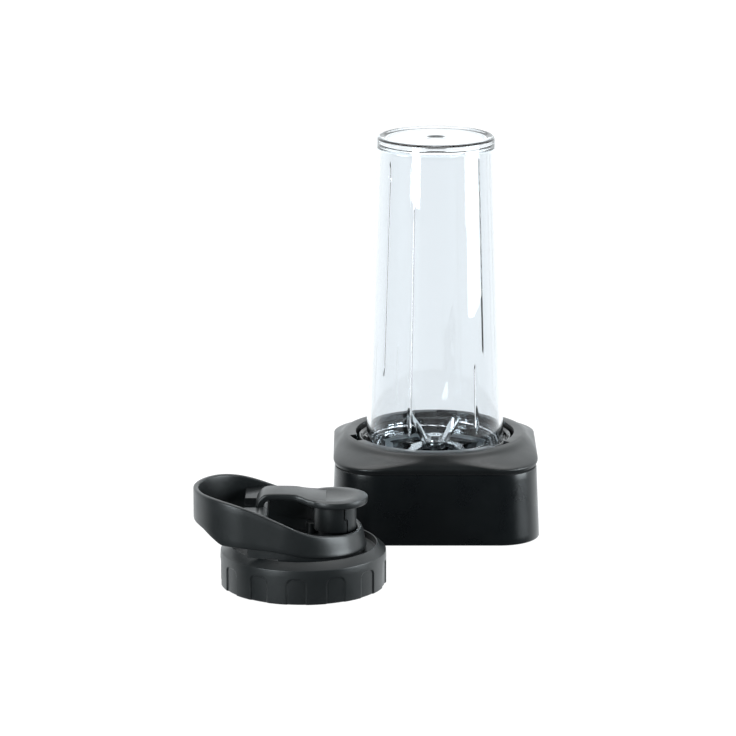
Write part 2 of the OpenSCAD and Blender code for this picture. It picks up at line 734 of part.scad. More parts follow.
module blade_holder() {
    color([0.07, 0.075, 0.08]) union() {
        rotate_extrude() polygon([
            [blade_bearing_r, hub_z0], [hub_r, hub_z0], [hub_r, holder_floor_z - holder_floor_t],
            [holder_skirt_r - 2.4, holder_floor_z - holder_floor_t], [holder_skirt_r - 2.4, well_floor_z],
            [holder_skirt_r, well_floor_z], [holder_skirt_r, slot_floor_z + 0.6], [holder_r, slot_floor_z + 1.6],
            [holder_r, holder_rim_z - 0.6], [holder_r - 0.6, holder_rim_z],
            [holder_in_r + 1.2, holder_rim_z], [holder_in_r, holder_rim_z - 1.2],
            [holder_in_r, holder_floor_z], [hub_r + 3, holder_floor_z], [hub_r - 1.5, hub_z1],
            [blade_bearing_r, hub_z1]]);
        for (a = slot_angles) rotate([0, 0, a])
            sector(holder_r - 1, slot_r - 0.5, wing_z0, holder_floor_z, wing_angle);
        thread(holder_in_r + 0.3, holder_in_r - thread_depth, holder_thread_z);
    }
}

module lower_blade_bearing() {
    bearing(blade_shaft_r + run_gap, blade_bearing_r, lower_blade_bearing_z, blade_bearing_t);
}

module upper_blade_bearing() {
    bearing(blade_shaft_r + run_gap, blade_bearing_r, upper_blade_bearing_z, blade_bearing_t);
}

module bearing_spacer() {
    color(steel) ring(blade_bearing_r - 1, blade_bearing_r, spacer_z, spacer_z + spacer_t);
}

module blade_seal() {
    color(rubber) ring(blade_shaft_r + run_gap, blade_bearing_r, blade_seal_z, blade_seal_z + seal_t);
}

module bearing_clip() {
    color(steel) ring(blade_bearing_r - 1, blade_bearing_r, hub_z0, hub_z0 + clip_t);
}

module blade_shaft() {
    color(steel) union() {
        translate([0, 0, drive_z1 + thick_gap]) cylinder(r = blade_shaft_r, h = blade_z0 - drive_z1 - thick_gap);
        translate([0, 0, blade_z0 - eps]) cylinder(r = shaft_tip_r, h = nut_z + nut_h - 0.4 - blade_z0);
    }
}

// A blade arm in its own plane, from the bend to the point, cutting edge on one side
module blade_outline(length, chord) {
    polygon([[-0.9, -chord / 2], [length * 0.45, -chord / 2], [length, chord * 0.1],
             [length * 0.7, chord * 0.42], [-0.9, chord / 2]]);
}

// A stamped arm that leaves the hub at an angle and bends by `bend` degrees
module blade_arm(direction, bend, length, chord) {
    rotate([0, 0, direction]) {
        translate([2, -chord / 2 - 0.2, 0]) cube([blade_bend_r - 2, chord + 0.4, blade_t]);
        translate([blade_bend_r - 0.35, 0, bend > 0 ? 0.12 : blade_t - 0.12]) rotate([0, -bend, 0])
            translate([0, 0, bend > 0 ? 0 : -blade_t]) linear_extrude(blade_t) blade_outline(length, chord);
    }
}

module upper_blade() {
    color(steel) translate([0, 0, upper_blade_z]) difference() {
        union() {
            cylinder(r = 7.5, h = blade_t);
            for (side = [0, 180]) {
                blade_arm(155 + side, 60, tall_blade, 7);
                blade_arm(205 + side, 66, short_blade, 7);
            }
        }
        translate([0, 0, -1]) cylinder(r = shaft_tip_r, h = 5);
    }
}

module lower_blade() {
    color(steel) translate([0, 0, blade_z0]) difference() {
        union() {
            cylinder(r = 7.5, h = blade_t);
            for (side = [0, 180]) blade_arm(10 + side, -14, low_blade, 8.5);
        }
        translate([0, 0, -1]) cylinder(r = shaft_tip_r, h = 5);
    }
}

module blade_spacer() {
    color(steel) ring(shaft_tip_r, 6, blade_z0 + blade_t, upper_blade_z);
}

module blade_washer() {
    color(steel) ring(shaft_tip_r, 5.6, washer_z, washer_z + washer_t);
}

module blade_nut() {
    color(steel) difference() {
        translate([0, 0, nut_z]) cylinder(r = 5, h = nut_h, $fn = 6);
        translate([0, 0, nut_z - 1]) cylinder(r = shaft_tip_r, h = 10);
    }
}

module driven_coupling() {
    color([0.2, 0.2, 0.21]) difference() {
        translate([0, 0, driven_z0]) cylinder(r = driven_r, h = driven_z1 - driven_z0);
        translate([0, 0, driven_z0 - 1]) linear_extrude(drive_z1 + thick_gap - driven_z0 + 1) coupling_star(0.4);
        translate([0, 0, driven_z0]) cylinder(r = blade_shaft_r, h = 30);
    }
}

// ---------- cup ----------

module cup_gasket() {
    color(silicone) ring(gasket_in_r, gasket_r, holder_floor_z, cup_rim_z);
}

// Inner radius of the cup at a height
function cup_inner_r(z) =
    z < cup_neck_z ? cup_mouth_r - cup_wall
    : cup_mouth_r - cup_wall - (cup_mouth_r - cup_end_r) * (z - cup_neck_z) / (cup_z1 - cup_edge_r - cup_neck_z);

// A rib on the inside of the cup's wall, following its taper
module cup_rib(angle, z0, z1) {
    rib_h = 1.1;
    rotate([0, 0, angle - 1.4]) rotate_extrude(angle = 2.8) polygon([
        [cup_inner_r(z0) - 0.1, z0], [cup_inner_r(z0) + 0.6, z0], [cup_inner_r(z1) + 0.6, z1],
        [cup_inner_r(z1) - 0.1, z1], [cup_inner_r(z1 - 6) - rib_h, z1 - 6], [cup_inner_r(z0 + 4) - rib_h, z0 + 4]]);
}

// Ribs as angle and the share of the cup's length where each starts and ends
cup_ribs = [[66.4, 0.1, 0.93], [246.4, 0.1, 0.93], [128, 0.1, 0.31], [308, 0.1, 0.31],
            [36, 0.27, 0.93], [216, 0.27, 0.93]];

module blending_cup() {
    color(clear) union() {
        rotate_extrude() polygon(concat(
            [[cup_mouth_r, cup_rim_z + 0.5], [cup_mouth_r, cup_neck_z], [cup_end_r, cup_z1 - cup_edge_r]],
            [for (a = [15 : 15 : 90]) [cup_end_r - cup_edge_r * (1 - cos(a)), cup_z1 - cup_edge_r * (1 - sin(a))]],
            [[cup_end_r - cup_edge_r - 1.6, cup_z1], [cup_end_r - cup_edge_r - 2.6, cup_z1 - 1],
             [0, cup_z1 - 1], [0, cup_z1 - cup_floor_t],
             [cup_end_r - cup_wall - 3, cup_z1 - cup_floor_t],
             [cup_inner_r(cup_z1 - cup_floor_t - 3), cup_z1 - cup_floor_t - 3],
             [cup_mouth_r - cup_wall, cup_neck_z], [cup_mouth_r - cup_wall, cup_rim_z + 0.5],
             [cup_mouth_r - cup_wall + 0.5, cup_rim_z], [cup_mouth_r - 0.5, cup_rim_z]]));
        for (r = cup_ribs) cup_rib(r[0], cup_rim_z + r[1] * cup_length, cup_rim_z + r[2] * cup_length);
        thread(cup_mouth_r - 0.3, cup_mouth_r + thread_depth, cup_thread_z);
    }
}

// ---------- travel lid, in its own frame with its centre on Z ----------

module at_lid() {
    translate([lid_place[0], lid_place[1], 0]) children();
}

module lid_cap() {
    color(lid_black) at_lid() difference() {
        union() {
            difference() {
                rotate_extrude() polygon([
                    [lid_in_r, 0.6], [lid_in_r + 0.6, 0], [lid_r - 0.5, 0], [lid_r, 0.5],
                    [lid_r, lid_grip_height - 0.8], [lid_r - 0.6, lid_grip_height],
                    [lid_r - 0.6 - shoulder_w, lid_grip_height + shoulder_h],
                    [recess_r - 0.6, lid_grip_height + shoulder_h], [recess_r - 0.6, lid_floor_z],
                    [0, lid_floor_z], [0, lid_floor_z0], [lid_in_r, lid_floor_z0]]);
                around(grip_panels, -128.3 + panel_angle / 2)
                    sector(lid_r - panel_depth, lid_r + 5, -1, panel_height, panel_angle);
            }
            translate([spout_x, 0, lid_floor_z - eps]) cylinder(r = spout_r, h = spout_z - lid_floor_z + eps);
            thread(lid_in_r + 0.3, lid_in_r - thread_depth, lid_gasket_z - 3.1 - thread_sweep / 360 * thread_lead);
        }
        translate([spout_x, 0, -1]) cylinder(r = spout_bore_r, h = 100);
        at_bosses() translate([0, 0, -1]) cylinder(r = lid_screw_r + 0.15, h = 100);
        translate([-22, 0, lid_floor_z0 - 1]) cylinder(r = 1.5, h = 10, $fn = 32);
    }
}

module lid_gasket() {
    color(silicone) at_lid() ring(gasket_in_r, gasket_r, lid_gasket_z, lid_floor_z0);
}

// The four screw bosses; their index picks a height
module at_boss(i) {
    translate([loop_front_x, 0, 0]) for (side = [-1, 1])
        rotate([0, 0, side * boss_angle[i]]) translate([boss_at, 0, 0]) children();
}

module at_bosses() {
    for (i = [0, 1]) at_boss(i) children();
}

// Plan of the carrying loop, drawn in by `inset`
module loop_plan(inset) {
    hull() {
        translate([loop_front_x, 0]) circle(r = loop_front_r - inset, $fn = 96);
        translate([loop_end_x, 0]) circle(r = loop_end_r - inset, $fn = 96);
    }
}

// A wall that follows the loop's plan, cut to a side view of [x, z] points
module loop_wall_cut(inset, thickness) {
    intersection() {
        linear_extrude(200) difference() {
            loop_plan(inset);
            loop_plan(inset + thickness);
        }
        translate([0, 100, 0]) rotate([90, 0, 0]) linear_extrude(200) children();
    }
}

// Points along an edge of the loop, given in shares of its height, moved up by `rise`
function edge_points(edge, rise = 0) = [for (p = edge) [p[0], lid_floor_z + loop_height * p[1] + rise]];
function backwards(points) = [for (i = [len(points) - 1 : -1 : 0]) points[i]];

module carry_loop() {
    far = loop_reach + 10;
    low = lid_floor_z + loop_height * loop_under[0][1];
    rim_z = lid_grip_height + shoulder_h + 0.3;
    color(lid_black) at_lid() difference() {
        union() {
            loop_wall_cut(0, loop_wall) polygon(concat(
                [[-far, low]], edge_points(loop_under), [[far, lid_floor_z + loop_height * loop_under[8][1]]],
                [[far, lid_floor_z + loop_height * 0.3]], backwards(edge_points(loop_edge)),
                [[-far, lid_floor_z + loop_height]]));
            loop_wall_cut(loop_skirt_in, loop_wall + 0.2 - loop_skirt_in) polygon([
                [-35, rim_z], [loop_skirt_x, rim_z], [loop_skirt_x, lid_floor_z + 0.1], [far, lid_floor_z + 0.1],
                [far, lid_floor_z + 6], [20, lid_floor_z + 6], [6, lid_floor_z + 9], [-19, lid_floor_z + 14],
                [-35, lid_floor_z + 17]]);
            for (y = [-1, 1]) {
                translate([hinge_x, y > 0 ? tongue_half + 0.4 : -hinge_end, hinge_z]) rotate([-90, 0, 0])
                    cylinder(r = hinge_barrel_r, h = hinge_end - tongue_half - 0.4);
                translate([hinge_x - hinge_block_l, y > 0 ? tongue_half + 0.4 : -hinge_end, hinge_z - 1])
                    cube([hinge_block_l, hinge_end - tongue_half - 0.4, hinge_barrel_r + 0.6]);
            }
            for (i = [0, 1]) at_boss(i) translate([0, 0, lid_floor_z]) cylinder(r = boss_r, h = boss_h[i]);
        }
        translate([hinge_x, -hinge_end + 2.5, hinge_z]) rotate([-90, 0, 0])
            cylinder(r = hinge_pin_r, h = 2 * hinge_end - 5, $fn = 48);
        for (i = [0, 1]) at_boss(i) translate([0, 0, lid_floor_z - 1]) cylinder(r = lid_screw_r, h = boss_h[i]);
    }
}

module loop_screws() {
    color(steel) at_lid() for (i = [0, 1]) at_boss(i) translate([0, 0, lid_floor_z0]) mirror([0, 0, 1])
        screw(lid_screw_r, lid_floor_t + boss_h[i] - 1, 2.4, 1.2);
}

module hinge_pin() {
    color(steel) at_lid() translate([hinge_x, -hinge_end + 2.5, hinge_z]) rotate([-90, 0, 0])
        cylinder(r = hinge_pin_r, h = 2 * hinge_end - 5, $fn = 48);
}

// Side view of the flip cap's tongue, from the hinge barrel over to the thumb disc
module tongue_profile() {
    x = hinge_x;
    z = disc_z0;
    polygon([
        [x - 3.9, hinge_z], [x - 3.8, z - 0.7], [x - 2.6, z + 2.9], [x, z + 5.9], [x + 3.5, z + 7.5], [-5, z + 7.7],
        [-1, z + 6.8], [3, z + 5.7], [9, z + 4.6], [14, z + disc_t], [14, z], [9, z + 0.2], [3, z + 1.4],
        [-1, z + 2.4], [-5.5, z + 3.4], [x + 6.5, z + 3.6], [x + 3.5, z + 3], [x + 1.6, z + 1.3], [x + 1, z - 1.2],
        [x + 1, hinge_z]]);
}

module flip_cap() {
    color(lid_black) at_lid() difference() {
        union() {
            translate([0, tongue_half, 0]) rotate([90, 0, 0]) linear_extrude(2 * tongue_half) tongue_profile();
            translate([hinge_x, -tongue_half, hinge_z]) rotate([-90, 0, 0])
                cylinder(r = hinge_barrel_r, h = 2 * tongue_half);
            translate([spout_x, 0, disc_z0]) cylinder(r = thumb_disc_r, h = disc_t);
            translate([spout_x, 0, skirt_z0]) cylinder(r = skirt_r, h = disc_z0 - skirt_z0 + 1);
        }
        translate([hinge_x, -50, hinge_z]) rotate([-90, 0, 0]) cylinder(r = hinge_pin_r + 0.05, h = 100, $fn = 48);
        translate([spout_x, 0, skirt_z0 - 1]) cylinder(r = skirt_in_r, h = spout_z + spout_seal_t - skirt_z0 + 1);
        translate([spout_x - 3, 0, disc_z0 + disc_t - dish_depth + dish_r]) sphere(r = dish_r);
        translate([spout_x, 0, 0]) rotate([0, 0, -40]) translate([skirt_r - 1.1, -0.6, skirt_z0 - 1])
            cube([3, 1.2, disc_z0 - skirt_z0 - 1]);
    }
}

module spout_seal() {
    color(silicone) at_lid() translate([spout_x, 0, spout_z]) cylinder(r = skirt_in_r, h = spout_seal_t);
}

base_housing();
top_collar();
seam_gasket();
bottom_plate();
foot_ring();
case_screws();
motor_bracket();
bracket_screws();
vibration_grommets();
stator_core();
stator_coils();
upper_motor_bearing();
lower_motor_bearing();
drip_seal();
controller_board();
board_parts();
board_screws();
mains_inlet();
inlet_pins();
interlock_switches();
plunger_spring(0);  // plunger_spring_1
plunger_spring(1);  // plunger_spring_2
plunger_spring(2);  // plunger_spring_3
plunger(0);  // plunger_1
plunger(1);  // plunger_2
plunger(2);  // plunger_3
rotor_bell();
rotor_magnets();
motor_shaft();
cooling_fan();
drive_coupling();
shaft_clip();
blade_holder();
upper_blade_bearing();
lower_blade_bearing();
bearing_spacer();
blade_seal();
bearing_clip();
blade_shaft();
lower_blade();
blade_spacer();
upper_blade();
blade_washer();
blade_nut();
driven_coupling();
cup_gasket();
blending_cup();
lid_cap();
lid_gasket();
carry_loop();
loop_screws();
hinge_pin();
flip_cap();
spout_seal();
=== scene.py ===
# A compact countertop blender: low square base, inverted clear cup, and its travel lid standing beside it.
import math
import bmesh
import bpy
import numpy as np
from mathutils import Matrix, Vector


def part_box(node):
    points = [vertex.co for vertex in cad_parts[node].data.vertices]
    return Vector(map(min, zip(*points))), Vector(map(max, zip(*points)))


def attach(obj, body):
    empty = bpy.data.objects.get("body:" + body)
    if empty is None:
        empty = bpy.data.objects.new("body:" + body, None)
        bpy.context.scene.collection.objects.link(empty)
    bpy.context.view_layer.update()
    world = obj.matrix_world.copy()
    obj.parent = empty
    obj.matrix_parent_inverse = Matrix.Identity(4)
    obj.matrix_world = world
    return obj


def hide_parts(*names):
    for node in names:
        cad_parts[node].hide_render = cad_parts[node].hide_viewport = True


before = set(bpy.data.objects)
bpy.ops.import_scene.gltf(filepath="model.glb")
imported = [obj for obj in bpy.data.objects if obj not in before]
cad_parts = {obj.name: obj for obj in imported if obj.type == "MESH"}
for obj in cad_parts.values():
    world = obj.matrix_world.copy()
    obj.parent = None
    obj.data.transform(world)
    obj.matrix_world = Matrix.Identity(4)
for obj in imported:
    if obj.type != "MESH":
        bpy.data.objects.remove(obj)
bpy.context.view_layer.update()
MM = 0.001


# ---- Camera, table and light ------------------------------------------------------------------
# The set stands on a plain white light table before a bright wall and is seen from the front, a little
# above, through a long lens.  Two softboxes, left and right of the lens, and a skylight do the modelling.

camera = bpy.data.objects.new("camera", bpy.data.cameras.new("camera"))
camera.location = (-0.0430, -2.522, 0.713)
camera.rotation_euler = (math.radians(76.364), 0, 0)
camera.data.lens = 198.07
camera.data.sensor_width = 36
bpy.context.scene.collection.objects.link(camera)
bpy.context.scene.camera = camera
bpy.context.scene.view_settings.view_transform = "Standard"


def paint(code):
    """An sRGB hex colour as linear red, green, blue and alpha."""
    shares = [int(code[i : i + 2], 16) / 255 for i in (1, 3, 5)]
    return [*(c / 12.92 if c <= 0.04045 else ((c + 0.055) / 1.055) ** 2.4 for c in shares), 1.0]


def put(tree, kind, inputs=None, **settings):
    """Adds one node, with its settings, and fills its inputs with values or links."""
    node = tree.nodes.new("ShaderNode" + kind)
    for name, value in settings.items():
        setattr(node, name, value)
    for name, value in (inputs or {}).items():
        if isinstance(value, bpy.types.NodeSocket):
            tree.links.new(value, node.inputs[name])
        else:
            node.inputs[name].default_value = value
    return node


def empty_tree(owner):
    """The owner's node tree, switched on and cleared."""
    owner.use_nodes = True
    owner.node_tree.nodes.clear()
    return owner.node_tree


room = bpy.data.worlds.new("studio")
bpy.context.scene.world = room
tree = empty_tree(room)
# a bright wall behind the set and darkness in front of it, where the camera stands
toward = put(tree, "SeparateXYZ", {0: put(tree, "TexCoord").outputs["Generated"]})
wall = put(tree, "MapRange", {"Value": toward.outputs["Y"], "From Min": -0.1, "From Max": 0.55,
                              "To Min": 0.02, "To Max": 1.5}, interpolation_type="SMOOTHSTEP")
glow = put(tree, "Background", {"Color": paint("#f4f9fb"), "Strength": wall.outputs[0]})
put(tree, "OutputWorld", {"Surface": glow.outputs[0]})


def panel(name, place, aim, size, watts, colour="#ffffff"):
    """A square soft light at `place` that points at `aim`."""
    lamp = bpy.data.lights.new(name, "AREA")
    lamp.shape = "RECTANGLE"
    lamp.size, lamp.size_y = size
    lamp.energy = watts
    lamp.color = paint(colour)[:3]
    holder = bpy.data.objects.new(name, lamp)
    away = np.array(place, float) - np.array(aim, float)
    away /= np.linalg.norm(away)
    holder.location = place
    holder.rotation_euler = (math.acos(away[2]), 0, math.atan2(away[1], away[0]) + math.pi / 2)
    bpy.context.scene.collection.objects.link(holder)


panel("skylight", (0, 0.3, 1.6), (0, 0, 0), (1.6, 1.2), 14)
panel("right softbox", (1.25, -0.35, 0.35), (0, 0, 0.05), (0.8, 0.9), 22, "#f2fbff")
panel("left softbox", (-0.95, -1.15, 0.40), (-0.1, 0, 0.05), (0.45, 0.8), 18, "#f2fbff")

table = bpy.data.meshes.new("table")
reach = 6.0
table.from_pydata([(-reach, -reach, 0), (reach, -reach, 0), (reach, reach, 0), (-reach, reach, 0)], [],
                  [(0, 1, 2, 3)])
table_top = bpy.data.objects.new("table", table)
bpy.context.scene.collection.objects.link(table_top)
table_top.visible_glossy = False
laminate = bpy.data.materials.new("white laminate")
tree = empty_tree(laminate)
# a satin white board: its faint tooth is 2 mm and only breaks up the highlight
where = put(tree, "TexCoord")
tooth = put(tree, "TexNoise", {"Vector": where.outputs["Object"], "Scale": 1 / (2 * MM), "Detail": 3.0})
lift = put(tree, "Bump", {"Height": tooth.outputs[0], "Strength": 0.05, "Distance": 0.05 * MM})
# it glows like a light table, so that the set throws almost no shadow
board = put(tree, "BsdfPrincipled", {"Base Color": paint("#3c3c3c"), "Roughness": 0.6,
                                     "Normal": lift.outputs[0], "Specular IOR Level": 0.2,
                                     "Emission Color": paint("#ffffff"), "Emission Strength": 1.0})
put(tree, "OutputMaterial", {"Surface": board.outputs[0]})
table.materials.append(laminate)


# ---- Base housing -----------------------------------------------------------------------------
# One deep moulding in satin ABS with 1 degree of draft: a rounded square tube whose lower edge is
# softened and whose back wall has a window for the appliance inlet.

def square_radius(angle, half, corner):
    """Distance from the middle to the outline of a rounded square, in direction `angle`: the straight side
    where the ray meets it, or else the far root of the ray and the corner's circle."""
    along, across = np.abs(np.cos(angle)), np.abs(np.sin(angle))
    flat = half / np.maximum(along, across)
    inset = half - corner
    ahead = inset * (along + across)
    arc = ahead + np.sqrt(np.maximum(ahead ** 2 - 2 * inset ** 2 + corner ** 2, 0))
    return np.where(flat * np.minimum(along, across) <= inset, flat, arc)


def fillet(corners, closed=True, steps=5):
    """An outline whose corners (x, y, radius) become arcs tangent to both of their sides."""
    points = []
    count = len(corners)
    for k, (x, y, radius) in enumerate(corners):
        here = np.array((x, y), float)
        if radius == 0 or (not closed and k in (0, count - 1)):
            points.append(here)
            continue
        to_last = np.array(corners[k - 1][:2]) - here
        to_next = np.array(corners[(k + 1) % count][:2]) - here
        to_last /= np.linalg.norm(to_last)
        to_next /= np.linalg.norm(to_next)
        half = math.acos(np.clip(to_last @ to_next, -1, 1)) / 2
        centre = here + (to_last + to_next) / np.linalg.norm(to_last + to_next) * radius / math.sin(half)
        start = here + to_last * radius / math.tan(half) - centre
        end = here + to_next * radius / math.tan(half) - centre
        sweep = math.pi - 2 * half
        t = np.linspace(0, 1, steps + 1)[:, None]
        points.extend(centre + (np.sin((1 - t) * sweep) * start + np.sin(t * sweep) * end) / math.sin(sweep))
    return np.array(points)


def patch(grid, around=False, along=False):
    """Points and four-sided faces of a grid of points, joined up where it closes on itself."""
    rows, columns = grid.shape[:2]
    index = np.arange(rows * columns).reshape(rows, columns)
    if along:
        index = np.vstack([index, index[:1]])
    if around:
        index = np.hstack([index, index[:, :1]])
    faces = np.stack([index[:-1, :-1], index[:-1, 1:], index[1:, 1:], index[1:, :-1]], -1)
    return grid.reshape(-1, 3), faces.reshape(-1, 4)


def make(name, parts, material, body, replaced, smooth=35):
    """One piece from patches: doubled points merged, faces turned outwards, shaded smooth below an angle."""
    points, faces, base = [], [], 0
    for some_points, some_faces in parts:
        points.append(some_points)
        faces.append(some_faces + base)
        base += len(some_points)
    mesh = bpy.data.meshes.new(name)
    mesh.from_pydata(np.vstack(points).tolist(), [], np.vstack(faces).tolist())
    work = bmesh.new()
    work.from_mesh(mesh)
    bmesh.ops.remove_doubles(work, verts=work.verts, dist=1e-6)
    bmesh.ops.dissolve_degenerate(work, edges=work.edges, dist=1e-7)
    bmesh.ops.recalc_face_normals(work, faces=work.faces)
    work.to_mesh(mesh)
    work.free()
    mesh.shade_smooth()
    mesh.set_sharp_from_angle(angle=math.radians(smooth))
    mesh.materials.append(material)
    piece = bpy.data.objects.new(name, mesh)
    bpy.context.scene.collection.objects.link(piece)
    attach(piece, body)
    if replaced:
        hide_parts(*replaced)
    return piece


def moulded(name, colour, worn, roughness, grain, depth, specular=0.5, flow=18 * MM):
    """Moulded plastic: spark-eroded grain as bump, slow flow marks and handling as slight changes of colour
    and gloss."""
    material = bpy.data.materials.new(name)
    tree = empty_tree(material)
    where = put(tree, "TexCoord").outputs["Object"]
    cloud = put(tree, "TexNoise", {"Vector": where, "Scale": 1 / flow, "Detail": 4.0, "Roughness": 0.6})
    tooth = put(tree, "TexNoise", {"Vector": where, "Scale": 1 / grain, "Detail": 2.0, "Roughness": 0.7})
    tint = put(tree, "Mix", {0: cloud.outputs[0], 6: paint(colour), 7: paint(worn)}, data_type="RGBA")
    gloss = put(tree, "MapRange", {"Value": cloud.outputs[0], "From Min": 0.3, "From Max": 0.7,
                                   "To Min": roughness - 0.05, "To Max": roughness + 0.05})
    lift = put(tree, "Bump", {"Height": tooth.outputs[0], "Strength": 0.6, "Distance": depth})
    surface = put(tree, "BsdfPrincipled", {"Base Color": tint.outputs[2], "Roughness": gloss.outputs[0],
                                           "Normal": lift.outputs[0], "IOR": 1.5,
                                           "Specular IOR Level": specular})
    put(tree, "OutputMaterial", {"Surface": surface.outputs[0]})
    return material


# satin ABS: nearly black, with a broad soft sheen; its 0.3 mm grain is drawn at 0.6 mm so that it shows
satin_abs = moulded("satin moulded ABS", "#090c0e", "#0d1113", 0.30, 0.6 * MM, 0.006 * MM)

low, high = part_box("base_housing")
foot_half, lip_half = high.x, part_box("seam_gasket")[1].x + 1 * MM
base_corner, base_wall = 26 * MM, 2.6 * MM
angles = np.linspace(-math.pi, math.pi, 440, endpoint=False)
section = fillet([(0, low.z, 1.3 * MM), (0, high.z, 0.7 * MM),
                  (-base_wall, high.z, 0.2 * MM), (-base_wall, low.z, 0.2 * MM)], steps=4)
levels = [np.linspace(section[i], section[(i + 1) % len(section)], 12 if length > 20 * MM else 2)[:-1]
          for i, length in enumerate(np.linalg.norm(np.roll(section, -1, 0) - section, axis=1))]
levels = np.vstack(levels)


def ring_grid(levels, radius_at, angles, middle=(0, 0)):
    """Rows of points around Z: row k has radius radius_at(levels[k]) at height levels[k][1]."""
    rows = []
    for offset, height in levels:
        radius = radius_at(offset, height)
        rows.append(np.stack([middle[0] + radius * np.cos(angles), middle[1] + radius * np.sin(angles),
                              np.full(len(angles), height)], -1))
    return np.array(rows)


def housing_radius(offset, height):
    """The drafted rounded square, moved in by the offset."""
    half = foot_half + (lip_half - foot_half) * (height - low.z) / (high.z - low.z)
    return square_radius(angles, half + offset, base_corner + offset)


housing = make("housing", [patch(ring_grid(levels, housing_radius, angles), around=True, along=True)],
               satin_abs, "base", ["base_housing"], smooth=30)


def cut_window(piece, low, high):
    """Cuts a straight-sided window through a closed piece."""
    corners = np.array([[x, y, z] for x in (low[0], high[0]) for y in (low[1], high[1])
                        for z in (low[2], high[2])])
    mesh = bpy.data.meshes.new("window")
    mesh.from_pydata(corners.tolist(), [], [(0, 1, 3, 2), (4, 6, 7, 5), (0, 4, 5, 1), (2, 3, 7, 6),
                                            (0, 2, 6, 4), (1, 5, 7, 3)])
    cutter = bpy.data.objects.new("window", mesh)
    bpy.context.scene.collection.objects.link(cutter)
    cut = piece.modifiers.new("window", "BOOLEAN")
    cut.object, cut.operation, cut.solver = cutter, "DIFFERENCE", "EXACT"
    view = bpy.context.evaluated_depsgraph_get()
    done = bpy.data.meshes.new_from_object(piece.evaluated_get(view))
    piece.modifiers.remove(cut)
    piece.data = done
    bpy.data.objects.remove(cutter)


inlet_low, inlet_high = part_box("mains_inlet")
cut_window(housing, (inlet_low.x + 3 * MM, 0.05, inlet_low.z + 2.5 * MM),
           (inlet_high.x - 3 * MM, 0.08, inlet_high.z - 2.5 * MM))


# ---- Top collar -------------------------------------------------------------------------------
# A matte ABS moulding that carries the well.  It swells a little above the seam, then blends from the
# rounded square into a flat round ring, and three slots run down inside the ring for the holder's wings.

matte_abs = moulded("matte moulded ABS", "#0e1112", "#131617", 0.36, 0.7 * MM, 0.02 * MM)

low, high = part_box("top_collar")
collar_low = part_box("seam_gasket")[1].z
ring_top = high.z
well_radius, slot_radius = 50.7 * MM, 55.6 * MM
floor_radius, seal_radius = 49.3 * MM, 9 * MM
slot_floor = 40 * MM
well_low, well_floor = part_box("drip_seal")[0].z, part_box("drip_seal")[1].z


def ease(knots, count):
    """A smooth path through the knots: cubic pieces whose slopes are the mean of the neighbouring steps."""
    knots = np.array(knots, float)
    step = np.diff(knots, axis=0)
    slope = np.vstack([step[:1], (step[:-1] + step[1:]) / 2, step[-1:]])
    t = np.linspace(0, len(knots) - 1, count)
    i = np.minimum(t.astype(int), len(knots) - 2)
    f = (t - i)[:, None]
    return ((2 * f ** 3 - 3 * f ** 2 + 1) * knots[i] + (f ** 3 - 2 * f ** 2 + f) * slope[i]
            + (3 * f ** 2 - 2 * f ** 3) * knots[i + 1] + (f ** 3 - f ** 2) * slope[i + 1])


# height above the seam, half width and corner radius of each level of the collar
collar_knots = np.array([(0.5, 63.9, 27.4), (2.6, 65, 32), (5.0, 64.2, 42), (8.2, 61.4, 55), (11.1, 58.6, 56),
                         (12.0, 57.0, 56.9)])
collar_shape = ease(collar_knots * MM, 26)
slot_edge = math.radians(8)
slots = np.radians([80, 200, 320])


def smooth_step(value, low, high):
    """0 below low, 1 above high, and a smooth rise between."""
    t = np.clip((value - low) / (high - low), 0, 1)
    return t * t * (3 - 2 * t)


angles = np.unique(np.round(np.concatenate([np.linspace(-math.pi, math.pi, 400, endpoint=False)]
                   + [(s + side * slot_edge + np.linspace(-0.02, 0.02, 9) + math.pi) % (2 * math.pi) - math.pi
                      for s in slots for side in (-1, 1)]), 6))
off_slot = np.min([np.abs((angles - s + math.pi) % (2 * math.pi) - math.pi) for s in slots], axis=0)
in_slot = 1 - smooth_step(off_slot, slot_edge - 0.012, slot_edge + 0.006)
well_wall = well_radius + (slot_radius - well_radius) * in_slot


def ring_rows(rows):
    """Rows around Z from (radius for each angle, height) pairs."""
    return np.array([np.stack([r * np.cos(angles), r * np.sin(angles), np.full(len(angles), z)], -1)
                     for r, z in ((np.broadcast_to(r, angles.shape), z) for r, z in rows)])


outer = [(square_radius(angles, half, corner), collar_low + up) for up, half, corner in collar_shape]
start = [(square_radius(angles, 63.3 * MM, 26.6 * MM), collar_low),
         (square_radius(angles, 63.7 * MM, 26.9 * MM), collar_low + 0.15 * MM)]
rim = [(56.5 * MM, ring_top - 0.05 * MM), (56.0 * MM, ring_top), (well_wall + 0.5 * MM, ring_top),
       (well_wall + 0.15 * MM, ring_top - 0.15 * MM), (well_wall, ring_top - 0.5 * MM)]
well = [(well_wall, slot_floor + 0.3 * MM), (well_wall - 0.3 * MM, slot_floor),
        (floor_radius + 0.2 * MM, slot_floor),
        (floor_radius, slot_floor - 0.2 * MM), (floor_radius, well_floor + 0.6 * MM),
        (floor_radius - 0.6 * MM, well_floor), (seal_radius, well_floor), (seal_radius, well_low)]
under = [(floor_radius + 1.9 * MM, well_low), (floor_radius + 1.9 * MM, slot_floor - 2 * MM),
         (well_wall + 1.6 * MM, slot_floor - 2 * MM), (well_wall + 1.6 * MM, ring_top - 4.2 * MM)]
inside = [(square_radius(angles, half - base_wall, corner - base_wall), collar_low + max(up - 2.4 * MM, 0))
          for up, half, corner in collar_shape[::-1]]
collar_rows = ring_rows(start + outer + rim + well + under + inside)
